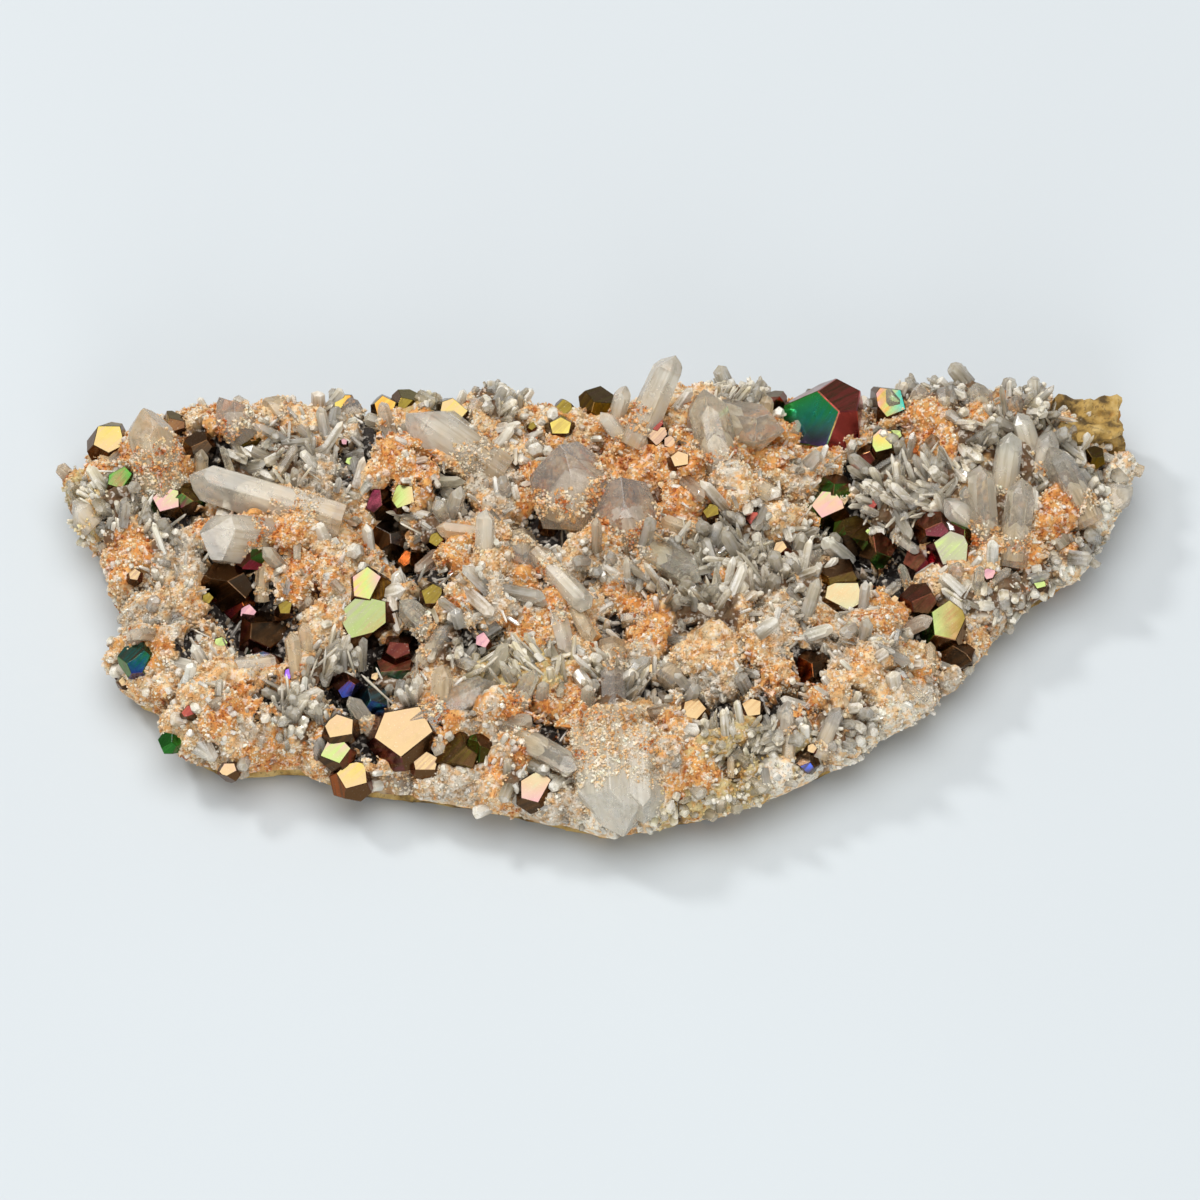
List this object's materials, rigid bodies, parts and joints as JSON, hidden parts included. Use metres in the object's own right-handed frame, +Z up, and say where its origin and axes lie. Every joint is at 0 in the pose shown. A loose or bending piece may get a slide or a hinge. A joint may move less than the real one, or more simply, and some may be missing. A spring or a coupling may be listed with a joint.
{
  "type": "pyrite on quartz mineral specimen",
  "caption": "Flat plate of host rock with a knobbly quartz crust, quartz prisms grown into it and iridescent pyrite crystals in its hollows, lying on its back.",
  "frame": {"origin": "on the flat underside the specimen rests on, near the middle of the plate", "axes": "+Z up out of the crust, +X along the plate's length to the right in the picture, +Y away from the viewer"},
  "size_m": [0.1933, 0.097, 0.0297],
  "materials": {
    "matrix_rock": "matte",
    "quartz": "satin",
    "pyrite": "polished"
  },
  "bodies": {
    "root": {"matrix_rock": "matrix_rock", "pyrite_blue_black": "pyrite", "pyrite_brown_great": "pyrite", "pyrite_brown_left": "pyrite", "pyrite_brown_pentagon": "pyrite", "pyrite_cave_right": "pyrite", "pyrite_copper_a": "pyrite", "pyrite_copper_b": "pyrite", "pyrite_deep_blue": "pyrite", "pyrite_dome_far": "pyrite", "pyrite_far_left": "pyrite", "pyrite_gold_far_a": "pyrite", "pyrite_gold_far_b": "pyrite", "pyrite_gold_far_c": "pyrite", "pyrite_gold_middle": "pyrite", "pyrite_gold_pentagon": "pyrite", "pyrite_green_edge": "pyrite", "pyrite_green_pentagon": "pyrite", "pyrite_grey_face": "pyrite", "pyrite_lime_face": "pyrite", "pyrite_maroon_far": "pyrite", "pyrite_olive_blade": "pyrite", "pyrite_olive_far": "pyrite", "pyrite_olive_left": "pyrite", "pyrite_olive_right": "pyrite", "pyrite_peach_far": "pyrite", "pyrite_peach_pair": "pyrite", "pyrite_pink_edge": "pyrite", "pyrite_pink_flash": "pyrite", "pyrite_rainbow_great": "pyrite", "pyrite_rainbow_small": "pyrite", "pyrite_rose_left": "pyrite", "pyrite_sepia_far": "pyrite", "pyrite_striped_left": "pyrite", "pyrite_striped_stack": "pyrite", "pyrite_teal_edge": "pyrite", "pyrite_yellow_low": "pyrite", "quartz_crust": "quartz"}
  },
  "joints": []
}
